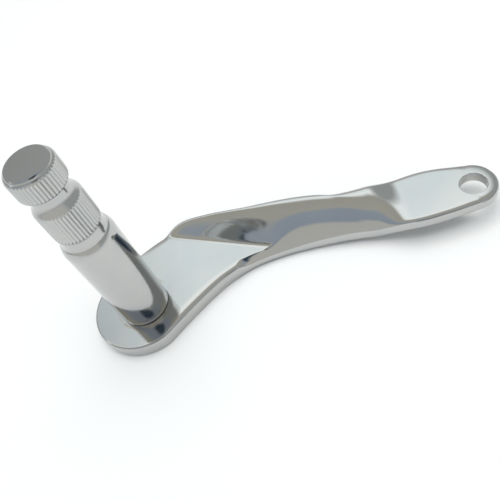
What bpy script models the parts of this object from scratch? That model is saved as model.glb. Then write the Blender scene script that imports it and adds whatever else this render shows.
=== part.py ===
"""Chrome inner shift lever: a forged, cranked arm with a turned, serrated shaft welded square in its boss.

Frame: metres, +Z along the shaft, the boss's flat back on Z = 0, the shaft's axis through the origin,
and +X towards the rod hole at the far end of the arm.
"""
import math

import bmesh
import bpy
from mathutils import Vector

MM = 0.001
GAP = 0.3 * MM                      # clearance left where two pieces touch

# Boss, the round end that holds the shaft
BOSS_CENTRE = Vector((-1.6, 0.4)) * MM
BOSS_RADIUS = 18.7 * MM
BOSS_SIDES = 30.0                   # degrees from +X in which the boss's straight sides run
BOSS_ALONG = Vector((math.cos(math.radians(BOSS_SIDES)), math.sin(math.radians(BOSS_SIDES))))
BOSS_TOP = 6.0 * MM

# Tang, the flat end with the rod hole
ROD_HOLE = Vector((126.5, 0.0)) * MM
ROD_HOLE_RADIUS = 4.76 * MM
ROD_HOLE_CHAMFER = 0.15 * MM
TANG_CENTRE = Vector((125.9, 0.6)) * MM
TANG_RADIUS = 9.2 * MM
TANG_TOP = 11.0 * MM
TANG_BACK = 6.8 * MM

# Bar, the full and rounded middle of the arm
BAR_TOP = 15.2 * MM
BAR_TOP_LOSS = 1.4 * MM             # how much lower the crest is at the tang than at the boss
BAR_BACK = 0.6 * MM
BAR_BACK_SLOPE = 5.0 * MM           # how much higher the back is at the far edge than at the near one
BAR_NEAR_WAIST = 2.1 * MM           # height of the bar's widest line at its near edge
BAR_NEAR_GAIN = 3.9 * MM            # how much that line climbs towards the tang
BAR_FAR_WAIST = 9.5 * MM            # height of that line at the far edge
BAR_WALL = 2.2 * MM                 # upright part of the bar's sides
BAR_CREST = 0.84                    # share of the width from the near edge to the crest
NEAR_FLANK_POWER = 1.3              # 1 is a straight slope and 2 a quarter of an ellipse
FAR_FLANK_POWER = 2.6
BACK_FLANK_POWER = 3.0

# Rounding of the arm's edges
TOP_ROUND = 0.9 * MM
BACK_ROUND = 0.7 * MM
CROWN_WIDTH = 4.5 * MM              # soft polished fall-off of the flat pads towards their edges
CROWN_DROP = 0.6 * MM
CROWN_START_X = -4.0 * MM           # X where that fall-off starts, and where it is full
CROWN_FULL_X = 14.0 * MM

# Rails of the arm's outline between its two round ends, seen from above
NEAR_RAIL = [Vector(p) * MM for p in (
    (17.0, -9.1), (26.5, -3.2), (34.5, 0.6), (45.0, 3.4), (60.0, 3.6), (76.0, 1.1), (90.0, -2.9),
    (103.0, -7.7), (115.0, -8.7))]
FAR_RAIL = [Vector(p) * MM for p in (
    (-4.5, 20.8), (2.0, 24.3), (9.0, 27.5), (18.5, 30.2), (30.0, 28.3), (46.0, 24.1), (62.0, 20.7),
    (71.0, 18.4), (79.0, 15.2), (94.0, 13.7), (112.0, 13.6))]

# Lines from which the bar rises above the boss's flat pad and sheds below it, and the fall to the tang
RISE_NORMAL = Vector((0.476, 0.879))
RISE_REACH = 30.5 * MM
RISE_SLOPE = 0.75                   # height for each length, as for the next slope
RISE_POWER = 3.0
SHED_NORMAL = Vector((0.884, -0.468))
SHED_REACH = 32.7 * MM
SHED_SLOPE = 0.8
PAD_FILLET = 1.0 * MM               # blend on either side of those lines
CLIMB_START_X = 46.0 * MM           # X where the pad's level starts to climb under the bar
WAIST_CLIMB_X = 60.0 * MM           # X where the bar's near edge starts to climb
FALL_START_X = 91.0 * MM
FALL_END_X = 103.0 * MM
BACK_RISE = (28.0 * MM, 50.0 * MM, 88.0 * MM, 104.0 * MM)   # X where the back leaves and meets each level

# Shaft: radii, and heights above the boss's back
TAIL_RADIUS = 7.0 * MM
BORE_RADIUS = TAIL_RADIUS + GAP
WELD_RADIUS = 9.6 * MM
WELD_DEPTH = 2.4 * MM
JOURNAL_RADIUS = 9.525 * MM
JOURNAL_TOP = 49.4 * MM
NECK_RADIUS = 7.95 * MM
NECK_FOOT = 54.7 * MM
NECK_TOP = 57.1 * MM
SPLINE_RADIUS = 8.26 * MM
SPLINE_ROOT = 7.86 * MM
LOWER_TEETH_FOOT = 57.5 * MM        # heights between which each band's teeth are full
LOWER_TEETH_TOP = 68.4 * MM
UPPER_TEETH_FOOT = 76.8 * MM
UPPER_TEETH_TOP = 82.9 * MM
GROOVE_RADIUS = 6.55 * MM
GROOVE_FOOT = 72.6 * MM
GROOVE_TOP = 75.6 * MM
END_RADIUS = 6.9 * MM
SHAFT_END = 85.0 * MM
TEETH = 42

RIB_STEPS = 24                      # pieces across the arm's width
END_RIBS = 15                       # ribs round each end of the arm
RAIL_STEPS = 4                      # ribs between two rail points


def clear_scene():
    for obj in list(bpy.data.objects):
        bpy.data.objects.remove(obj, do_unlink=True)


def chrome(name, colour, roughness):
    material = bpy.data.materials.new(name)
    material.use_nodes = True
    shader = material.node_tree.nodes["Principled BSDF"]
    shader.inputs["Base Color"].default_value = (*colour, 1.0)
    shader.inputs["Metallic"].default_value = 1.0
    shader.inputs["Roughness"].default_value = roughness
    material.diffuse_color = (*colour, 1.0)
    return material


def add_object(name, bm, material):
    """Turn a closed bmesh into a named object with outward faces."""
    bmesh.ops.recalc_face_normals(bm, faces=bm.faces)
    mesh = bpy.data.meshes.new(name)
    bm.to_mesh(mesh)
    bm.free()
    obj = bpy.data.objects.new(name, mesh)
    bpy.context.scene.collection.objects.link(obj)
    if material:
        obj.data.materials.append(material)
    return obj


def mix(a, b, share):
    return a + (b - a) * share


def ease(value):
    """Go from 0 to 1 with level ends."""
    value = min(max(value, 0.0), 1.0)
    return value * value * (3.0 - 2.0 * value)


def arc(centre, radius, start, end, count):
    """Points on an arc, its ends included, with the angles in degrees."""
    angles = [math.radians(mix(start, end, i / (count - 1))) for i in range(count)]
    return [centre + radius * Vector((math.cos(a), math.sin(a))) for a in angles]


def through(points):
    """A smooth curve through the points, which leaves out its two end points."""
    ends = [points[0] * 2 - points[1], *points, points[-1] * 2 - points[-2]]
    curve = []
    for a, b, c, d in zip(ends, ends[1:], ends[2:], ends[3:]):
        for i in range(RAIL_STEPS):
            t = i / RAIL_STEPS
            bend = (2 * a - 5 * b + 4 * c - d) * t * t + (3 * b - a - 3 * c + d) * t ** 3
            curve.append(0.5 * (2 * b + (c - a) * t + bend))
    return curve[1:]


def outline_side(boss_start, boss_end, rail, tang_start, tang_end):
    """One side of the arm's outline, from the boss's tip to the tang's tip."""
    boss = arc(BOSS_CENTRE, BOSS_RADIUS, boss_start, boss_end, END_RIBS)
    tang = arc(TANG_CENTRE, TANG_RADIUS, tang_start, tang_end, END_RIBS)
    return boss + through([boss[-1], *rail, tang[0]]) + tang


def edge_drop(depth, radius):
    """How far a rounded edge has dropped at a depth in from the outline."""
    inside = max(radius - max(depth, 0.0), 0.0)
    return radius - math.sqrt(radius * radius - inside * inside)


def crown_drop(point, depth):
    """How far a flat pad has fallen off softly towards its edge; the boss's nose stays crisp."""
    reach = ease((point.x - CROWN_START_X) / (CROWN_FULL_X - CROWN_START_X))
    return CROWN_DROP * reach * max(1.0 - max(depth, 0.0) / CROWN_WIDTH, 0.0) ** 3


def dome(share, power):
    """Height, from 0 at share 0 to 1 at share 1, of a rounded quarter."""
    return (1.0 - (1.0 - min(share, 1.0)) ** power) ** (1.0 / power)


def soft_ramp(distance, blend):
    """Zero before the start, the distance itself after it, and a fillet between the two."""
    if distance < -blend:
        return 0.0
    if distance > blend:
        return distance
    return (distance + blend) ** 2 / (4.0 * blend)


def beyond(point, normal, reach, slope):
    """Height gained on a ramp that starts, with a small fillet, at a line across the pad."""
    return slope * soft_ramp(point.dot(normal) - reach, PAD_FILLET)


def soft_least(a, b):
    """The smaller of two heights, rounded where they are alike, or zero when either isn't above it."""
    if a <= 0.0 or b <= 0.0:
        return 0.0
    return a * b / (a ** RISE_POWER + b ** RISE_POWER) ** (1.0 / RISE_POWER)


def outline_depth(point, near, far):
    """Distance in from the arm's outline."""
    if (point - BOSS_CENTRE).dot(BOSS_ALONG) < 0.0:
        return BOSS_RADIUS - (point - BOSS_CENTRE).length
    if point.x > TANG_CENTRE.x:
        return TANG_RADIUS - (point - TANG_CENTRE).length
    return min((point - near).length, (far - point).length)


def waist(point, share):
    """Height of the widest line of the bar, which climbs along its near edge towards the tang."""
    near = BAR_NEAR_WAIST + BAR_NEAR_GAIN * ease((point.x - WAIST_CLIMB_X) / (FALL_END_X - WAIST_CLIMB_X))
    return mix(near, BAR_FAR_WAIST, share)


def top_height(point, share, depth):
    """Height of the arm's front face."""
    pad_top = mix(BOSS_TOP, TANG_TOP, ease((point.x - CLIMB_START_X) / (FALL_START_X - CLIMB_START_X)))
    pad = pad_top - edge_drop(depth, TOP_ROUND) - crown_drop(point, depth)
    if share < BAR_CREST:
        fullness = dome(share / BAR_CREST, NEAR_FLANK_POWER)
    else:
        fullness = dome((1.0 - share) / (1.0 - BAR_CREST), FAR_FLANK_POWER)
    crest = BAR_TOP - BAR_TOP_LOSS * ease((point.x - CLIMB_START_X) / (FALL_START_X - CLIMB_START_X))
    lift = mix(waist(point, share) + BAR_WALL / 2, crest, fullness) - pad
    rise = soft_least(lift, beyond(point, RISE_NORMAL, RISE_REACH, RISE_SLOPE))
    shed = soft_least(-lift, beyond(point, SHED_NORMAL, SHED_REACH, SHED_SLOPE))
    fall = ease((point.x - FALL_START_X) / (FALL_END_X - FALL_START_X))
    return pad + (rise - shed) * (1.0 - fall)


def back_height(point, share, depth):
    """Height of the arm's back face."""
    x0, x1, x2, x3 = BACK_RISE
    leave = ease((point.x - x0) / (x1 - x0))
    meet = ease((point.x - x2) / (x3 - x2))
    pad = mix(0.0, TANG_BACK, ease((point.x - x1) / (x2 - x1))) + edge_drop(depth, BACK_ROUND)
    flat = BAR_BACK + BAR_BACK_SLOPE * share
    foot = waist(point, share) - BAR_WALL / 2
    bar = mix(foot, flat, dome(2.0 * min(share, 1.0 - share), BACK_FLANK_POWER))
    return mix(pad, bar, leave * (1.0 - meet))


def arm_section(near, far):
    """A closed ring of points round the arm between one near and one far outline point."""
    shares = [0.5 - 0.5 * math.cos(math.pi * i / RIB_STEPS) for i in range(RIB_STEPS + 1)]
    front = []
    back = []
    for share in shares:
        point = near.lerp(far, share)
        depth = outline_depth(point, near, far)
        front.append(Vector((point.x, point.y, top_height(point, share, depth))))
        back.append(Vector((point.x, point.y, back_height(point, share, depth))))
    return front + back[::-1]


def loft(rings):
    """Close a run of matching rings into a solid."""
    bm = bmesh.new()
    loops = [[bm.verts.new(point) for point in ring] for ring in rings]
    for lower, upper in zip(loops, loops[1:]):
        for i in range(len(lower)):
            j = (i + 1) % len(lower)
            bm.faces.new((lower[i], lower[j], upper[j], upper[i]))
    bm.faces.new(loops[0][::-1])
    bm.faces.new(loops[-1])
    return bm


def turned(profile, centre=Vector((0.0, 0.0)), sides=84, tooth_root=None):
    """Turn (height, radius, toothed) rows about a vertical axis; toothed rows are cut to the root."""
    rings = []
    for height, radius, toothed in profile:
        ring = []
        for i in range(sides):
            angle = 2.0 * math.pi * i / sides
            reach = min(radius, tooth_root) if toothed and i % 2 else radius
            spoke = reach * Vector((math.cos(angle), math.sin(angle)))
            ring.append(Vector((centre.x + spoke.x, centre.y + spoke.y, height)))
        rings.append(ring)
    return loft(rings)


def cut(obj, cutter):
    """Cut a hole with an exact Boolean, keep the result as mesh data and remove the cutter."""
    modifier = obj.modifiers.new("cut", "BOOLEAN")
    modifier.operation = "DIFFERENCE"
    modifier.solver = "EXACT"
    modifier.object = cutter
    bpy.context.view_layer.update()
    evaluated = obj.evaluated_get(bpy.context.evaluated_depsgraph_get())
    solid = bpy.data.meshes.new_from_object(evaluated)
    obj.modifiers.clear()
    obj.data = solid
    bpy.data.objects.remove(cutter, do_unlink=True)


def make_arm():
    near = outline_side(BOSS_SIDES - 178.0, BOSS_SIDES - 95.0, NEAR_RAIL, -92.0, -2.0)
    far = outline_side(BOSS_SIDES + 178.0, BOSS_SIDES + 90.0, FAR_RAIL, 84.0, 2.0)
    bm = loft([arm_section(a, b) for a, b in zip(near, far)])
    arm = add_object("lever_arm", bm, chrome("arm_chrome", (0.72, 0.74, 0.75), 0.12))

    reach = 2.0 * MM
    bore = turned([(-reach, WELD_RADIUS + reach, False), (WELD_DEPTH, BORE_RADIUS, False),
                   (BOSS_TOP + reach, BORE_RADIUS, False)], sides=64)
    cut(arm, add_object("bore_cutter", bore, None))

    lip = ROD_HOLE_RADIUS + ROD_HOLE_CHAMFER + reach
    rod_hole = turned([(TANG_BACK - reach, lip, False),
                       (TANG_BACK + ROD_HOLE_CHAMFER, ROD_HOLE_RADIUS, False),
                       (TANG_TOP - ROD_HOLE_CHAMFER, ROD_HOLE_RADIUS, False),
                       (TANG_TOP + reach, lip, False)], centre=ROD_HOLE, sides=64)
    cut(arm, add_object("rod_hole_cutter", rod_hole, None))
    return arm


def make_shaft():
    """The turned shaft, from its tail in the bore to the chamfered end above the upper serrations."""
    tip = SPLINE_RADIUS
    profile = [
        (0.0, TAIL_RADIUS, False),
        (BOSS_TOP + GAP, TAIL_RADIUS, False),
        (BOSS_TOP + GAP, JOURNAL_RADIUS - 0.25 * MM, False),
        (BOSS_TOP + GAP + 0.25 * MM, JOURNAL_RADIUS, False),
        (JOURNAL_TOP, JOURNAL_RADIUS, False),
        (JOURNAL_TOP + 1.0 * MM, JOURNAL_RADIUS - 0.15 * MM, False),
        (JOURNAL_TOP + 2.2 * MM, JOURNAL_RADIUS - 0.5 * MM, False),
        (JOURNAL_TOP + 3.2 * MM, JOURNAL_RADIUS - 0.95 * MM, False),
        (JOURNAL_TOP + 3.5 * MM, JOURNAL_RADIUS - 1.15 * MM, False),
        (NECK_FOOT, NECK_RADIUS, False),
        (NECK_TOP, NECK_RADIUS, False),
        (NECK_TOP + 0.1 * MM, tip - 0.2 * MM, True),
        (LOWER_TEETH_FOOT, tip, True),
        (LOWER_TEETH_TOP, tip, True),
        (LOWER_TEETH_TOP + 1.0 * MM, tip - 0.3 * MM, True),
        (LOWER_TEETH_TOP + 1.9 * MM, tip - 0.75 * MM, False),
        (LOWER_TEETH_TOP + 2.8 * MM, tip - 1.2 * MM, False),
        (GROOVE_FOOT, GROOVE_RADIUS, False),
        (GROOVE_TOP, GROOVE_RADIUS, False),
        (GROOVE_TOP + 0.4 * MM, tip - 0.9 * MM, False),
        (GROOVE_TOP + 0.6 * MM, tip - 0.3 * MM, True),
        (UPPER_TEETH_FOOT, tip, True),
        (UPPER_TEETH_TOP, tip, True),
        (UPPER_TEETH_TOP + 0.4 * MM, tip - 0.3 * MM, True),
        (UPPER_TEETH_TOP + 1.3 * MM, END_RADIUS + 0.4 * MM, False),
        (SHAFT_END, END_RADIUS, False),
    ]
    bm = turned(profile, sides=2 * TEETH, tooth_root=SPLINE_ROOT)
    return add_object("splined_shaft", bm, chrome("shaft_chrome", (0.7, 0.71, 0.71), 0.18))


def make_weld():
    """The ring of weld that fills the chamfer at the back of the bore, ground flush with the boss."""
    slope = (WELD_RADIUS - BORE_RADIUS) / WELD_DEPTH
    inner = TAIL_RADIUS + GAP
    outer = WELD_RADIUS - GAP * math.hypot(1.0, slope)
    top = (outer - inner) / slope
    bm = bmesh.new()
    sides = 64
    loops = []
    for radius, height in ((inner, 0.0), (outer, 0.0), (inner, top)):
        angles = [2.0 * math.pi * i / sides for i in range(sides)]
        loops.append([bm.verts.new((radius * math.cos(a), radius * math.sin(a), height)) for a in angles])
    for one, other in zip(loops, loops[1:] + loops[:1]):
        for i in range(sides):
            j = (i + 1) % sides
            bm.faces.new((one[i], one[j], other[j], other[i]))
    return add_object("rear_weld_ring", bm, chrome("weld_plating", (0.62, 0.62, 0.6), 0.35))


clear_scene()
make_arm()
make_shaft()
make_weld()
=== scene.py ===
"""Looks of the chrome inner shift lever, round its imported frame: fine meshes, plated metal and a studio."""
import math

import bmesh
import bpy
from mathutils import Matrix, Vector


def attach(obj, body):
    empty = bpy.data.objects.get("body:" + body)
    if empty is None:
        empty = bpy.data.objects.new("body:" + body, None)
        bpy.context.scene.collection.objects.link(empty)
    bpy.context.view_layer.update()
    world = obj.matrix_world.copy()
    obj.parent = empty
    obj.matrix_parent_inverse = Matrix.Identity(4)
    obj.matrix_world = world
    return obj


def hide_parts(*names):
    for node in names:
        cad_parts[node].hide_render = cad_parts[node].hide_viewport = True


MM = 0.001
BODY = "root"

# Camera
CAMERA_PLACE = Vector((65.0, -126.69, 180.63)) * MM
CAMERA_AIM = Vector((44.05, 6.36, 8.0)) * MM
CAMERA_ROLL = math.radians(-25.9)
CAMERA_LENS = 42.18

# Studio: directions, then colours at angles from the near horizon (0) over the top to the far one (180)
NEAR_SIDE = (0.156, -0.988, 0.0)
RIGHT_SIDE = (0.988, 0.156, 0.0)
LENS_SIDE = (0.096, -0.608, 0.788)
SKY_BANDS = [(-180.0, (0.75, 0.75, 0.75)), (-1.0, (0.7, 0.7, 0.67)), (40.0, (0.68, 0.68, 0.64)),
             (46.0, (0.41, 0.47, 0.55)), (76.0, (0.43, 0.49, 0.57)), (83.0, (0.57, 0.57, 0.51)),
             (107.0, (0.55, 0.54, 0.48)), (114.0, (1.4, 1.47, 1.47)), (122.0, (1.4, 1.47, 1.47)),
             (126.0, (1.18, 1.29, 1.32)), (135.0, (1.18, 1.29, 1.32)), (144.0, (0.7, 0.7, 0.68)),
             (179.9, (0.7, 0.7, 0.68))]
# Shares of the sideways and the camera's direction at which the left shade, the right wall and the dark
# spot behind the camera start and are full
LEFT_SHADE = [(-1.0, (0.6, 0.6, 0.6)), (-0.3, (0.62, 0.62, 0.62)), (-0.1, (1.0, 1.0, 1.0))]
OVERHEAD_MASK = [(113.0, (0.0, 0.0, 0.0)), (122.0, (1.0, 1.0, 1.0))]
RIGHT_MASK = [(0.37, (0.0, 0.0, 0.0)), (0.58, (1.0, 1.0, 1.0))]
RIGHT_WALL = (0.48, 0.51, 0.5)
LENS_MASK = [(0.955, (0.0, 0.0, 0.0)), (0.985, (1.0, 1.0, 1.0))]
LENS_DARK = (0.06, 0.09, 0.13)

KEY_PLACE = (0.1, 0.1, 0.9)
KEY_SIZE = 0.8
KEY_POWER = 5.4
FLOOR_SIZE = 3.0
FLOOR_DROP = 0.05 * MM
FLOOR_COLOUR = (0.92, 0.92, 0.92)

# Boss, tang and bar of the arm, with the CAD part's own sizes
BOSS_CENTRE = Vector((-1.6, 0.4)) * MM
BOSS_RADIUS = 18.7 * MM
BOSS_SIDES = 30.0                   # degrees from +X in which the boss's straight sides run
BOSS_ALONG = Vector((math.cos(math.radians(BOSS_SIDES)), math.sin(math.radians(BOSS_SIDES))))
BOSS_TOP = 6.0 * MM
ROD_HOLE = Vector((126.5, 0.0)) * MM
ROD_HOLE_RADIUS = 4.76 * MM
ROD_HOLE_CHAMFER = 0.15 * MM
TANG_CENTRE = Vector((125.9, 0.6)) * MM
TANG_RADIUS = 9.2 * MM
TANG_TOP = 11.0 * MM
TANG_BACK = 6.8 * MM
BAR_TOP = 15.2 * MM
BAR_TOP_LOSS = 1.4 * MM             # how much lower the crest is at the tang than at the boss
BAR_BACK = 0.6 * MM
BAR_BACK_SLOPE = 5.0 * MM           # how much higher the back is at the far edge than at the near one
BAR_NEAR_WAIST = 2.1 * MM           # height of the bar's widest line at its near edge
BAR_NEAR_GAIN = 3.9 * MM            # how much that line climbs towards the tang
BAR_FAR_WAIST = 9.5 * MM            # height of that line at the far edge
BAR_WALL = 2.2 * MM                 # upright part of the bar's sides
BAR_CREST = 0.84                    # share of the width from the near edge to the crest
NEAR_FLANK_POWER = 1.3              # 1 is a straight slope and 2 a quarter of an ellipse
FAR_FLANK_POWER = 2.6
BACK_FLANK_POWER = 3.0

# Rounding of the arm's edges
TOP_ROUND = 0.9 * MM
BACK_ROUND = 0.7 * MM
CROWN_WIDTH = 4.5 * MM              # soft polished fall-off of the flat pads towards their edges
CROWN_DROP = 0.6 * MM
CROWN_START_X = -4.0 * MM           # X where that fall-off starts, and where it is full
CROWN_FULL_X = 14.0 * MM

# Rails of the arm's outline between its two round ends, seen from above
NEAR_RAIL = [Vector(p) * MM for p in (
    (17.0, -9.1), (26.5, -3.2), (34.5, 0.6), (45.0, 3.4), (60.0, 3.6), (76.0, 1.1), (90.0, -2.9),
    (103.0, -7.7), (115.0, -8.7))]
FAR_RAIL = [Vector(p) * MM for p in (
    (-4.5, 20.8), (2.0, 24.3), (9.0, 27.5), (18.5, 30.2), (30.0, 28.3), (46.0, 24.1), (62.0, 20.7),
    (71.0, 18.4), (79.0, 15.2), (94.0, 13.7), (112.0, 13.6))]

# Lines from which the bar rises above the boss's flat pad and sheds below it, and the fall to the tang
RISE_NORMAL = Vector((0.476, 0.879))
RISE_REACH = 30.5 * MM
RISE_SLOPE = 0.75                   # height for each length, as for the next slope
RISE_POWER = 3.0
SHED_NORMAL = Vector((0.884, -0.468))
SHED_REACH = 32.7 * MM
SHED_SLOPE = 0.8
PAD_FILLET = 1.0 * MM               # blend on either side of those lines
CLIMB_START_X = 46.0 * MM           # X where the pad's level starts to climb under the bar
WAIST_CLIMB_X = 60.0 * MM           # X where the bar's near edge starts to climb
FALL_START_X = 91.0 * MM
FALL_END_X = 103.0 * MM
BACK_RISE = (28.0 * MM, 50.0 * MM, 88.0 * MM, 104.0 * MM)   # X where the back leaves and meets each level

# Shaft, with the CAD part's own sizes
GAP = 0.3 * MM                      # clearance left where two pieces touch
TAIL_RADIUS = 7.0 * MM
BORE_RADIUS = TAIL_RADIUS + GAP
WELD_RADIUS = 9.6 * MM
WELD_DEPTH = 2.4 * MM
JOURNAL_RADIUS = 9.525 * MM
JOURNAL_TOP = 49.4 * MM
NECK_RADIUS = 7.95 * MM
NECK_FOOT = 54.7 * MM
NECK_TOP = 57.1 * MM
SPLINE_RADIUS = 8.26 * MM
SPLINE_ROOT = 7.86 * MM
LOWER_TEETH_FOOT = 57.5 * MM        # heights between which each band's teeth are full
LOWER_TEETH_TOP = 68.4 * MM
UPPER_TEETH_FOOT = 76.8 * MM
UPPER_TEETH_TOP = 82.9 * MM
GROOVE_RADIUS = 6.55 * MM
GROOVE_FOOT = 72.6 * MM
GROOVE_TOP = 75.6 * MM
END_RADIUS = 6.9 * MM
SHAFT_END = 85.0 * MM
TEETH = 42

# Degrees at which the arcs of the two round ends start and stop, the boss's ones from BOSS_SIDES
NEAR_BOSS_ARC = (-178.0, -95.0)
FAR_BOSS_ARC = (178.0, 90.0)
NEAR_TANG_ARC = (-92.0, -2.0)
FAR_TANG_ARC = (84.0, 2.0)

# Fineness of the meshes
RIB_STEPS = 72                      # pieces across the arm's width
END_RIBS = 48                       # ribs round each end of the arm
RAIL_STEPS = 12                     # ribs between two rail points
TOOTH_STEPS = 8                     # pieces round each tooth
HOLE_SIDES = 160
CUT_REACH = 2.0 * MM                # how far the hole cutters stand out of the arm
ARM_CREASE = 30.0                   # degrees from which an edge is shaded sharp
SHAFT_CREASE = 38.0
WELD_CREASE = 40.0

# Small shapes which only the fine meshes have
TOOTH_VALLEY_POWER = 1.6            # 1 is a plain V and more rounds the tooth's crest
WELD_SIDES = 280
WELD_STEPS = 10
WELD_RIPPLES = 34
WELD_RIPPLE_DEPTH = 0.22 * MM
WELD_RIPPLE_BEND = 3.0              # bow of each ripple, in radians of its wave

# Metal colours
CHROME = (0.5, 0.505, 0.505)
CHROME_WARM = (0.53, 0.525, 0.51)
EDGE_BRIGHT = (0.58, 0.585, 0.585)
STAIN = (0.36, 0.27, 0.17)
STAIN_INNER = JOURNAL_RADIUS + 0.35 * MM
STAIN_OUTER = JOURNAL_RADIUS + 1.9 * MM
SATIN = (0.36, 0.355, 0.35)
# Colour of the painted shade, a dark line drawn at the lower rim of each serrated band
PAINTED_SHADE = (0.08, 0.08, 0.08)
PAINTED_SHADE_LEVELS = (NECK_TOP - 0.05 * MM, GROOVE_TOP + 0.75 * MM)   # painted shade: a dark line at the lower rim of each serrated band
DULL_GREY = (0.42, 0.42, 0.41)

# Roughness between the smoothest and the roughest spots, and pattern scales in cycles per metre
POLISHED_ROUGHNESS = (0.055, 0.1)
TURNED_ROUGHNESS = (0.09, 0.15)
WELD_ROUGHNESS = (0.22, 0.38)
POLISHING_WAVES = 70.0
POLISHING_GRAIN = 2600.0
SCRATCHES = 900.0
PITS = 420.0
STAIN_PATCHES = 260.0
SHAFT_CLOUDS = 150.0
TURNING_MARKS = 5200.0
FACE_RINGS = 4200.0
WELD_CLOUDS = 500.0
WELD_GRAIN = 2200.0


# ---------------------------------------------------------------- meshes

def mix(a, b, share):
    """Go from a at share 0 to b at share 1."""
    return a + (b - a) * share


def ease(value):
    """Go from 0 to 1 with level ends."""
    value = min(max(value, 0.0), 1.0)
    return value * value * (3.0 - 2.0 * value)


def add_object(name, bm):
    """Turn a closed bmesh into a named object with outward faces."""
    bmesh.ops.recalc_face_normals(bm, faces=bm.faces)
    mesh = bpy.data.meshes.new(name)
    bm.to_mesh(mesh)
    bm.free()
    obj = bpy.data.objects.new(name, mesh)
    bpy.context.scene.collection.objects.link(obj)
    return obj


def shade(obj, degrees):
    """Smooth shading, with every edge sharper than the angle kept crisp."""
    obj.data.shade_smooth()
    obj.data.set_sharp_from_angle(angle=math.radians(degrees))


def loft(rings):
    """Close a run of matching rings into a solid."""
    bm = bmesh.new()
    loops = [[bm.verts.new(point) for point in ring] for ring in rings]
    for lower, upper in zip(loops, loops[1:]):
        for i in range(len(lower)):
            j = (i + 1) % len(lower)
            bm.faces.new((lower[i], lower[j], upper[j], upper[i]))
    bm.faces.new(loops[0][::-1])
    bm.faces.new(loops[-1])
    return bm


def arc(centre, radius, start, end, count):
    """Points on an arc, its ends included, with the angles in degrees."""
    angles = [math.radians(mix(start, end, i / (count - 1))) for i in range(count)]
    return [centre + radius * Vector((math.cos(a), math.sin(a))) for a in angles]


def through(points):
    """A smooth curve through the points, which leaves out its two end points."""
    ends = [points[0] * 2 - points[1], *points, points[-1] * 2 - points[-2]]
    curve = []
    for a, b, c, d in zip(ends, ends[1:], ends[2:], ends[3:]):
        for i in range(RAIL_STEPS):
            t = i / RAIL_STEPS
            bend = (2 * a - 5 * b + 4 * c - d) * t * t + (3 * b - a - 3 * c + d) * t ** 3
            curve.append(0.5 * (2 * b + (c - a) * t + bend))
    return curve[1:]


def outline_side(boss_arc, rail, tang_arc):
    """One side of the arm's outline, from the boss's tip to the tang's tip."""
    boss_start, boss_end = boss_arc
    boss = arc(BOSS_CENTRE, BOSS_RADIUS, BOSS_SIDES + boss_start, BOSS_SIDES + boss_end, END_RIBS)
    tang = arc(TANG_CENTRE, TANG_RADIUS, *tang_arc, END_RIBS)
    return boss + through([boss[-1], *rail, tang[0]]) + tang


def edge_drop(depth, radius):
    """How far a rounded edge has dropped at a depth in from the outline."""
    inside = max(radius - max(depth, 0.0), 0.0)
    return radius - math.sqrt(radius * radius - inside * inside)


def crown_drop(point, depth):
    """How far a flat pad has fallen off softly towards its edge; the boss's nose stays crisp."""
    reach = ease((point.x - CROWN_START_X) / (CROWN_FULL_X - CROWN_START_X))
    return CROWN_DROP * reach * max(1.0 - max(depth, 0.0) / CROWN_WIDTH, 0.0) ** 3


def dome(share, power):
    """Height, from 0 at share 0 to 1 at share 1, of a rounded quarter."""
    return (1.0 - (1.0 - min(share, 1.0)) ** power) ** (1.0 / power)


def soft_ramp(distance, blend):
    """Zero before the start, the distance itself after it, and a fillet between the two."""
    if distance < -blend:
        return 0.0
    if distance > blend:
        return distance
    return (distance + blend) ** 2 / (4.0 * blend)


def beyond(point, normal, reach, slope):
    """Height gained on a ramp that starts, with a small fillet, at a line across the pad."""
    return slope * soft_ramp(point.dot(normal) - reach, PAD_FILLET)


def soft_least(a, b):
    """The smaller of two heights, rounded where they are alike, or zero when either isn't above it."""
    if a <= 0.0 or b <= 0.0:
        return 0.0
    return a * b / (a ** RISE_POWER + b ** RISE_POWER) ** (1.0 / RISE_POWER)


def outline_depth(point, near, far):
    """Distance in from the arm's outline."""
    if (point - BOSS_CENTRE).dot(BOSS_ALONG) < 0.0:
        return BOSS_RADIUS - (point - BOSS_CENTRE).length
    if point.x > TANG_CENTRE.x:
        return TANG_RADIUS - (point - TANG_CENTRE).length
    return min((point - near).length, (far - point).length)


def waist(point, share):
    """Height of the widest line of the bar, which climbs along its near edge towards the tang."""
    near = BAR_NEAR_WAIST + BAR_NEAR_GAIN * ease((point.x - WAIST_CLIMB_X) / (FALL_END_X - WAIST_CLIMB_X))
    return mix(near, BAR_FAR_WAIST, share)


def top_height(point, share, depth):
    """Height of the arm's front face."""
    pad_top = mix(BOSS_TOP, TANG_TOP, ease((point.x - CLIMB_START_X) / (FALL_START_X - CLIMB_START_X)))
    pad = pad_top - edge_drop(depth, TOP_ROUND) - crown_drop(point, depth)
    if share < BAR_CREST:
        fullness = dome(share / BAR_CREST, NEAR_FLANK_POWER)
    else:
        fullness = dome((1.0 - share) / (1.0 - BAR_CREST), FAR_FLANK_POWER)
    crest = BAR_TOP - BAR_TOP_LOSS * ease((point.x - CLIMB_START_X) / (FALL_START_X - CLIMB_START_X))
    lift = mix(waist(point, share) + BAR_WALL / 2, crest, fullness) - pad
    rise = soft_least(lift, beyond(point, RISE_NORMAL, RISE_REACH, RISE_SLOPE))
    shed = soft_least(-lift, beyond(point, SHED_NORMAL, SHED_REACH, SHED_SLOPE))
    fall = ease((point.x - FALL_START_X) / (FALL_END_X - FALL_START_X))
    return pad + (rise - shed) * (1.0 - fall)


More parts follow.
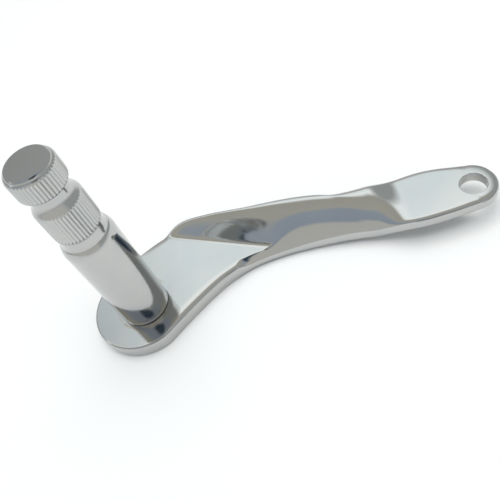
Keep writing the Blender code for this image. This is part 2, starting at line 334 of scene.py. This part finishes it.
def back_height(point, share, depth):
    """Height of the arm's back face."""
    x0, x1, x2, x3 = BACK_RISE
    leave = ease((point.x - x0) / (x1 - x0))
    meet = ease((point.x - x2) / (x3 - x2))
    pad = mix(0.0, TANG_BACK, ease((point.x - x1) / (x2 - x1))) + edge_drop(depth, BACK_ROUND)
    flat = BAR_BACK + BAR_BACK_SLOPE * share
    foot = waist(point, share) - BAR_WALL / 2
    bar = mix(foot, flat, dome(2.0 * min(share, 1.0 - share), BACK_FLANK_POWER))
    return mix(pad, bar, leave * (1.0 - meet))


def arm_section(near, far):
    """A closed ring of points round the arm between one near and one far outline point."""
    shares = [0.5 - 0.5 * math.cos(math.pi * i / RIB_STEPS) for i in range(RIB_STEPS + 1)]
    front = []
    back = []
    for share in shares:
        point = near.lerp(far, share)
        depth = outline_depth(point, near, far)
        front.append(Vector((point.x, point.y, top_height(point, share, depth))))
        back.append(Vector((point.x, point.y, back_height(point, share, depth))))
    return front + back[::-1]


def turned(profile, sides, centre=Vector((0.0, 0.0)), tooth_height=None):
    """Turn (height, radius, toothed) rows about a vertical axis; teeth cap the radius of toothed rows."""
    rings = []
    for height, radius, toothed in profile:
        ring = []
        for i in range(sides):
            angle = 2.0 * math.pi * i / sides
            reach = min(radius, tooth_height(angle)) if toothed else radius
            x = centre.x + reach * math.cos(angle)
            y = centre.y + reach * math.sin(angle)
            ring.append(Vector((x, y, height)))
        rings.append(ring)
    return loft(rings)


def cut(obj, cutter):
    """Cut a hole with an exact Boolean, keep the result as mesh data and remove the cutter."""
    modifier = obj.modifiers.new("cut", "BOOLEAN")
    modifier.operation = "DIFFERENCE"
    modifier.solver = "EXACT"
    modifier.object = cutter
    bpy.context.view_layer.update()
    evaluated = obj.evaluated_get(bpy.context.evaluated_depsgraph_get())
    solid = bpy.data.meshes.new_from_object(evaluated)
    obj.modifiers.clear()
    obj.data = solid
    bpy.data.objects.remove(cutter, do_unlink=True)


def make_arm():
    """The forged arm, on the CAD arm's own formulas with a much finer mesh."""
    near = outline_side(NEAR_BOSS_ARC, NEAR_RAIL, NEAR_TANG_ARC)
    far = outline_side(FAR_BOSS_ARC, FAR_RAIL, FAR_TANG_ARC)
    arm = add_object("forged_arm", loft([arm_section(a, b) for a, b in zip(near, far)]))

    bore = turned([(-CUT_REACH, WELD_RADIUS + CUT_REACH, False), (WELD_DEPTH, BORE_RADIUS, False),
                   (BOSS_TOP + CUT_REACH, BORE_RADIUS, False)], HOLE_SIDES)
    cut(arm, add_object("bore_cutter", bore))

    lip = ROD_HOLE_RADIUS + ROD_HOLE_CHAMFER + CUT_REACH
    rod_hole = turned([(TANG_BACK - CUT_REACH, lip, False),
                       (TANG_BACK + ROD_HOLE_CHAMFER, ROD_HOLE_RADIUS, False),
                       (TANG_TOP - ROD_HOLE_CHAMFER, ROD_HOLE_RADIUS, False),
                       (TANG_TOP + CUT_REACH, lip, False)], HOLE_SIDES, ROD_HOLE)
    cut(arm, add_object("rod_hole_cutter", rod_hole))
    shade(arm, ARM_CREASE)
    return arm


def tooth_height(angle):
    """Radius of the serrations at an angle: rounded crests between narrow valleys."""
    turn = (angle * TEETH / (2.0 * math.pi)) % 1.0
    valley = 1.0 - abs(2.0 * turn - 1.0)
    return SPLINE_RADIUS - (SPLINE_RADIUS - SPLINE_ROOT) * valley ** TOOTH_VALLEY_POWER


def rounded(low, high, bulge, steps):
    """Rows of a turned profile from one (height, radius) to another, bowed outward between them."""
    rows = []
    for i in range(steps + 1):
        share = i / steps
        bow = bulge * math.sin(math.pi * share)
        rows.append((mix(low[0], high[0], share), mix(low[1], high[1], share) + bow))
    return rows


def make_shaft():
    """The turned shaft: journal, shoulder, neck, two serrated bands with a groove, and a satin end face."""
    tip = SPLINE_RADIUS
    foot = BOSS_TOP + GAP
    smooth = [(0.0, TAIL_RADIUS), (foot, TAIL_RADIUS)]
    smooth += rounded((foot, JOURNAL_RADIUS - 0.25 * MM), (foot + 0.25 * MM, JOURNAL_RADIUS), 0.04 * MM, 4)
    smooth += [(mix(foot, JOURNAL_TOP, i / 9), JOURNAL_RADIUS) for i in range(1, 9)]
    smooth += [(JOURNAL_TOP - 0.2 * MM, JOURNAL_RADIUS)]
    smooth += rounded((JOURNAL_TOP, JOURNAL_RADIUS), (JOURNAL_TOP + 3.2 * MM, JOURNAL_RADIUS - 0.95 * MM),
                      0.15 * MM, 8)
    smooth += rounded((JOURNAL_TOP + 3.4 * MM, JOURNAL_RADIUS - 1.2 * MM), (NECK_FOOT, NECK_RADIUS),
                      -0.05 * MM, 4)
    smooth += [(NECK_TOP - 0.1 * MM, NECK_RADIUS), (NECK_TOP, NECK_RADIUS - 0.15 * MM)]
    smooth += rounded((NECK_TOP + 0.1 * MM, tip - 0.15 * MM), (LOWER_TEETH_FOOT, tip - 0.08 * MM),
                      0.05 * MM, 4)
    lower = [(LOWER_TEETH_FOOT + 0.1 * MM, tip), (LOWER_TEETH_FOOT + 0.4 * MM, tip),
             (LOWER_TEETH_TOP - 0.3 * MM, tip)]
    lower += rounded((LOWER_TEETH_TOP, tip), (LOWER_TEETH_TOP + 1.9 * MM, tip - 0.75 * MM), 0.12 * MM, 8)
    groove = rounded((LOWER_TEETH_TOP + 2.0 * MM, tip - 0.8 * MM), (GROOVE_FOOT, GROOVE_RADIUS), -0.1 * MM, 8)
    groove += rounded((GROOVE_TOP - 0.2 * MM, GROOVE_RADIUS), (GROOVE_TOP + 0.4 * MM, tip - 0.9 * MM),
                      -0.12 * MM, 4)
    upper = rounded((GROOVE_TOP + 0.45 * MM, tip - 0.45 * MM), (UPPER_TEETH_FOOT, tip), 0.06 * MM, 4)
    upper += [(UPPER_TEETH_FOOT + 0.3 * MM, tip), (UPPER_TEETH_TOP - 0.3 * MM, tip)]
    upper += rounded((UPPER_TEETH_TOP, tip), (UPPER_TEETH_TOP + 1.2 * MM, END_RADIUS + 0.7 * MM),
                     0.12 * MM, 8)
    crown = rounded((UPPER_TEETH_TOP + 1.3 * MM, END_RADIUS + 0.5 * MM), (SHAFT_END, END_RADIUS - 0.05 * MM),
                    0.1 * MM, 8)
    crown += [(SHAFT_END, END_RADIUS * share) for share in (0.8, 0.5, 0.2)]
    profile = []
    for rows, toothed in ((smooth, False), (lower, True), (groove, False), (upper, True), (crown, False)):
        profile += [(height, radius, toothed) for height, radius in rows]
    shaft = add_object("turned_shaft", turned(profile, TEETH * TOOTH_STEPS, tooth_height=tooth_height))
    shade(shaft, SHAFT_CREASE)
    return shaft


def make_weld():
    """The ring of weld behind the boss, with the even ripples of a bead sunk below its ground face."""
    slope = (WELD_RADIUS - BORE_RADIUS) / WELD_DEPTH
    inner = TAIL_RADIUS + GAP
    outer = WELD_RADIUS - GAP * math.hypot(1.0, slope)
    bm = bmesh.new()
    loops = []
    for step in range(WELD_STEPS + 1):
        share = step / WELD_STEPS
        loop = []
        for i in range(WELD_SIDES):
            angle = 2.0 * math.pi * i / WELD_SIDES
            radius = mix(inner, outer, share)
            wave = WELD_RIPPLES * angle + WELD_RIPPLE_BEND * (share - 0.5) ** 2
            ripple = 0.5 - 0.5 * math.cos(wave)
            height = WELD_RIPPLE_DEPTH * ripple * math.sin(math.pi * share)
            loop.append(bm.verts.new((radius * math.cos(angle), radius * math.sin(angle), height)))
        loops.append(loop)
    top = (outer - inner) / slope
    angles = [2.0 * math.pi * i / WELD_SIDES for i in range(WELD_SIDES)]
    loops.append([bm.verts.new((inner * math.cos(a), inner * math.sin(a), top)) for a in angles])
    for one, other in zip(loops, loops[1:] + loops[:1]):
        for i in range(WELD_SIDES):
            j = (i + 1) % WELD_SIDES
            bm.faces.new((one[i], one[j], other[j], other[i]))
    weld = add_object("weld_bead", bm)
    shade(weld, WELD_CREASE)
    return weld


# ---------------------------------------------------------------- node helpers

def add_node(tree, kind, sockets=None, **settings):
    """Make a node; a socket's value is set, or linked when it is another node's output."""
    node = tree.nodes.new(kind)
    for name, value in settings.items():
        setattr(node, name, value)
    for key, value in (sockets or {}).items():
        if isinstance(value, bpy.types.NodeSocket):
            tree.links.new(value, node.inputs[key])
        else:
            node.inputs[key].default_value = value
    return node


def calculate(tree, operation, *values):
    """A sum on numbers or other nodes' outputs."""
    return add_node(tree, "ShaderNodeMath", dict(enumerate(values)), operation=operation).outputs[0]


def spread(tree, value, low, high, new_low=0.0, new_high=1.0):
    """Map a range of values on another one, clamped at both ends."""
    sockets = {"Value": value, "From Min": low, "From Max": high, "To Min": new_low, "To Max": new_high}
    return add_node(tree, "ShaderNodeMapRange", sockets).outputs["Result"]


def ramp(tree, value, low, high, stops):
    """Colours at given values between low and high."""
    node = add_node(tree, "ShaderNodeValToRGB", {"Fac": spread(tree, value, low, high)})
    elements = node.color_ramp.elements
    elements.remove(elements[-1])
    elements[0].position = (stops[0][0] - low) / (high - low)
    elements[0].color = (*stops[0][1], 1.0)
    for place, colour in stops[1:]:
        elements.new((place - low) / (high - low)).color = (*colour, 1.0)
    return node.outputs["Color"]


def blend(tree, factor, one, other, kind="MIX"):
    """Mix two colours, each of them a tuple or another node's output."""
    node = add_node(tree, "ShaderNodeMix", data_type="RGBA", blend_type=kind)
    first, second = [socket for socket in node.inputs if socket.type == "RGBA"]
    for socket, value in ((node.inputs["Factor"], factor), (first, one), (second, other)):
        if isinstance(value, bpy.types.NodeSocket):
            tree.links.new(value, socket)
        elif isinstance(value, tuple):
            socket.default_value = (*value, 1.0)
        else:
            socket.default_value = value
    return [socket for socket in node.outputs if socket.type == "RGBA"][0]


def noise(tree, place, scale, detail=2.0, stretch=(1.0, 1.0, 1.0)):
    """Noise between 0 and 1, with its scale in cycles per metre along each axis."""
    mapped = add_node(tree, "ShaderNodeMapping", {"Vector": place, "Scale": stretch}).outputs[0]
    sockets = {"Vector": mapped, "Scale": scale, "Detail": detail}
    return add_node(tree, "ShaderNodeTexNoise", sockets).outputs["Fac"]


def bump(tree, height, distance, strength=1.0, under=None):
    """Bump of a height between 0 and 1, its distance in metres, on top of an earlier bump."""
    sockets = {"Height": height, "Distance": distance, "Strength": strength}
    if under:
        sockets["Normal"] = under
    return add_node(tree, "ShaderNodeBump", sockets).outputs[0]


# ---------------------------------------------------------------- materials

def start_metal(name):
    """A metal material, its shader, its place in the part and the share of worn edge at each point."""
    material = bpy.data.materials.new(name)
    material.use_nodes = True
    tree = material.node_tree
    shader = tree.nodes["Principled BSDF"]
    shader.inputs["Metallic"].default_value = 1.0
    place = add_node(tree, "ShaderNodeTexCoord").outputs["Object"]
    pointed = add_node(tree, "ShaderNodeNewGeometry").outputs["Pointiness"]
    worn = spread(tree, pointed, 0.52, 0.6)
    return material, tree, shader, place, worn


def finish_metal(tree, shader, colour, roughness, normal):
    """Link the finished colour, roughness and bump to the shader."""
    tree.links.new(colour, shader.inputs["Base Color"])
    tree.links.new(roughness, shader.inputs["Roughness"])
    tree.links.new(normal, shader.inputs["Normal"])


def distance_from_axis(tree, place):
    """Distance from the shaft's axis, and height, at each point."""
    split = add_node(tree, "ShaderNodeSeparateXYZ", {0: place}).outputs
    across = calculate(tree, "MULTIPLY", split["X"], split["X"])
    along = calculate(tree, "MULTIPLY_ADD", split["Y"], split["Y"], across)
    return calculate(tree, "SQRT", along), split["Z"]


def polished_chrome():
    """Hand-polished plating on a forging: soft waves, fine scratches, pits, and a stain round the shaft."""
    material, tree, shader, place, worn = start_metal("polished_chrome")
    cloud = noise(tree, place, POLISHING_WAVES, 3.0)
    grain = noise(tree, place, POLISHING_GRAIN)
    scratches = noise(tree, place, SCRATCHES, 1.0, (0.12, 1.0, 1.0))
    pits = add_node(tree, "ShaderNodeTexVoronoi", {"Vector": place, "Scale": PITS}).outputs["Distance"]
    pit = spread(tree, pits, 0.05, 0.09, 1.0, 0.0)

    colour = blend(tree, spread(tree, cloud, 0.35, 0.7), CHROME, CHROME_WARM)
    colour = blend(tree, calculate(tree, "MULTIPLY", worn, 0.6), colour, EDGE_BRIGHT)
    colour = blend(tree, calculate(tree, "MULTIPLY", pit, 0.35), colour, DULL_GREY)
    radius, height = distance_from_axis(tree, place)
    inside = spread(tree, radius, STAIN_INNER, STAIN_INNER + 0.4 * MM)
    outside = spread(tree, radius, STAIN_OUTER - 0.9 * MM, STAIN_OUTER, 1.0, 0.0)
    ring = calculate(tree, "MULTIPLY", inside, outside)
    front = spread(tree, height, BOSS_TOP - 0.2 * MM, BOSS_TOP - 0.1 * MM)
    patchy = spread(tree, noise(tree, place, STAIN_PATCHES, 3.0), 0.38, 0.62)
    stained = calculate(tree, "MULTIPLY", calculate(tree, "MULTIPLY", ring, front), patchy)
    colour = blend(tree, calculate(tree, "MULTIPLY", stained, 0.55), colour, STAIN)

    roughness = spread(tree, grain, 0.3, 0.7, *POLISHED_ROUGHNESS)
    roughness = calculate(tree, "MULTIPLY_ADD", worn, 0.08, roughness)
    roughness = calculate(tree, "MULTIPLY_ADD", stained, 0.15, roughness)
    normal = bump(tree, cloud, 0.03 * MM)
    normal = bump(tree, scratches, 0.0004 * MM, 0.6, normal)
    normal = bump(tree, calculate(tree, "SUBTRACT", 1.0, pit), 0.004 * MM, 0.6, normal)
    finish_metal(tree, shader, colour, roughness, normal)
    return material


def turned_chrome():
    """Plating on turned steel: fine turning marks round the shaft, a dull satin end face, and painted shade
    in a dark line at the lower rim of each serrated band.
    """
    material, tree, shader, place, worn = start_metal("turned_chrome")
    radius, height = distance_from_axis(tree, place)
    cloud = noise(tree, place, SHAFT_CLOUDS, 3.0)
    marks = noise(tree, place, TURNING_MARKS, 2.0, (0.02, 0.02, 1.0))
    outward = add_node(tree, "ShaderNodeCombineXYZ", {"X": radius}).outputs[0]
    rings = noise(tree, outward, FACE_RINGS)
    face = spread(tree, height, SHAFT_END - 0.03 * MM, SHAFT_END - 0.01 * MM)
    # Painted shade: a thin strip of height at the lower rim of each serrated band, darkened in the colour
    # below
    painted_shade = 0.0
    for level in PAINTED_SHADE_LEVELS:
        below = spread(tree, height, level - 0.25 * MM, level - 0.1 * MM)
        above = spread(tree, height, level + 0.1 * MM, level + 0.25 * MM, 1.0, 0.0)
        painted_shade = calculate(tree, "MULTIPLY_ADD", below, above, painted_shade)

    colour = blend(tree, spread(tree, cloud, 0.35, 0.7), CHROME, CHROME_WARM)
    colour = blend(tree, calculate(tree, "MULTIPLY", worn, 0.5), colour, EDGE_BRIGHT)
    colour = blend(tree, face, colour, SATIN)
    # Painted shade under each serrated band
    colour = blend(tree, calculate(tree, "MULTIPLY", painted_shade, 0.75), colour, PAINTED_SHADE)
    roughness = spread(tree, marks, 0.3, 0.7, *TURNED_ROUGHNESS)
    roughness = calculate(tree, "MULTIPLY_ADD", face, 0.25, roughness)
    face_height = calculate(tree, "MULTIPLY", rings, face)
    normal = bump(tree, marks, 0.0006 * MM)
    normal = bump(tree, face_height, 0.003 * MM, 0.6, normal)
    finish_metal(tree, shader, colour, roughness, normal)
    return material


def plated_weld():
    """Plating over a weld bead: duller, uneven and darker in its valleys."""
    material, tree, shader, place, worn = start_metal("plated_weld")
    cloud = noise(tree, place, WELD_CLOUDS, 4.0)
    colour = blend(tree, spread(tree, cloud, 0.3, 0.7), DULL_GREY, CHROME_WARM)
    colour = blend(tree, calculate(tree, "MULTIPLY", worn, 0.6), colour, EDGE_BRIGHT)
    roughness = spread(tree, cloud, 0.3, 0.7, *WELD_ROUGHNESS)
    normal = bump(tree, noise(tree, place, WELD_GRAIN, 4.0), 0.02 * MM, 0.7)
    finish_metal(tree, shader, colour, roughness, normal)
    return material


# ---------------------------------------------------------------- studio

def make_camera():
    """A camera above the near side, rolled so that the shaft leans to the left."""
    data = bpy.data.cameras.new("camera")
    data.lens = CAMERA_LENS
    data.sensor_width = 36.0
    data.clip_start = 0.005
    camera = bpy.data.objects.new("camera", data)
    bpy.context.scene.collection.objects.link(camera)
    facing = (CAMERA_AIM - CAMERA_PLACE).to_track_quat("-Z", "Y").to_matrix().to_4x4()
    camera.matrix_world = Matrix.Translation(CAMERA_PLACE) @ facing @ Matrix.Rotation(CAMERA_ROLL, 4, "Z")
    bpy.context.scene.camera = camera


def make_floor():
    """A pale matt floor just under the part."""
    bm = bmesh.new()
    bmesh.ops.create_grid(bm, x_segments=1, y_segments=1, size=FLOOR_SIZE)
    floor = add_object("floor", bm)
    floor.location.z = -FLOOR_DROP
    material = bpy.data.materials.new("floor")
    material.use_nodes = True
    shader = material.node_tree.nodes["Principled BSDF"]
    shader.inputs["Base Color"].default_value = (*FLOOR_COLOUR, 1.0)
    shader.inputs["Roughness"].default_value = 0.9
    floor.data.materials.append(material)


def make_world():
    """A sky of soft bands: warm and blue-grey low on the near side, a softbox and a pale card overhead."""
    world = bpy.data.worlds.new("studio")
    bpy.context.scene.world = world
    world.use_nodes = True
    tree = world.node_tree
    tree.nodes.clear()
    place = add_node(tree, "ShaderNodeTexCoord").outputs["Generated"]

    def along(direction):
        sockets = {0: place, 1: direction}
        return add_node(tree, "ShaderNodeVectorMath", sockets, operation="DOT_PRODUCT").outputs["Value"]

    angle = calculate(tree, "ARCTAN2", along((0.0, 0.0, 1.0)), along(NEAR_SIDE))
    degrees = calculate(tree, "DEGREES", angle)
    sideways = along(RIGHT_SIDE)
    sky = ramp(tree, degrees, -180.0, 180.0, SKY_BANDS)
    overhead = ramp(tree, degrees, -180.0, 180.0, OVERHEAD_MASK)
    sky = blend(tree, overhead, sky, ramp(tree, sideways, -1.0, 1.0, LEFT_SHADE), "MULTIPLY")
    sky = blend(tree, ramp(tree, sideways, -1.0, 1.0, RIGHT_MASK), sky, RIGHT_WALL)
    sky = blend(tree, ramp(tree, along(LENS_SIDE), 0.8, 1.0, LENS_MASK), sky, LENS_DARK)
    background = add_node(tree, "ShaderNodeBackground", {"Color": sky}).outputs[0]
    add_node(tree, "ShaderNodeOutputWorld", {"Surface": background})


def make_light():
    """A large soft light from above, which the metal doesn't mirror."""
    data = bpy.data.lights.new("key", "AREA")
    data.size = KEY_SIZE
    data.energy = KEY_POWER
    light = bpy.data.objects.new("key", data)
    light.location = KEY_PLACE
    light.visible_glossy = False
    bpy.context.scene.collection.objects.link(light)


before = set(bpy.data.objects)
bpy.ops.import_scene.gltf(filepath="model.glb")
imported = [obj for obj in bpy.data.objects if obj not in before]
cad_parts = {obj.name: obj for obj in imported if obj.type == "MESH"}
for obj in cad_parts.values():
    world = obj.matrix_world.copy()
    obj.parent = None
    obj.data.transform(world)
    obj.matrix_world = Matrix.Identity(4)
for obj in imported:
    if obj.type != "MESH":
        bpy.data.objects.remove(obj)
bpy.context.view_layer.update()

make_camera()
make_floor()
make_world()
make_light()
bpy.context.scene.view_settings.view_transform = "Standard"

for piece, node, slot, material in ((make_arm(), "lever_arm", "polished_chrome", polished_chrome()),
                                    (make_shaft(), "splined_shaft", "turned_chrome", turned_chrome()),
                                    (make_weld(), "rear_weld_ring", "plated_weld", plated_weld())):
    piece.data.materials.clear()
    piece.data.materials.append(material)
    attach(piece, BODY)
    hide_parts(node)
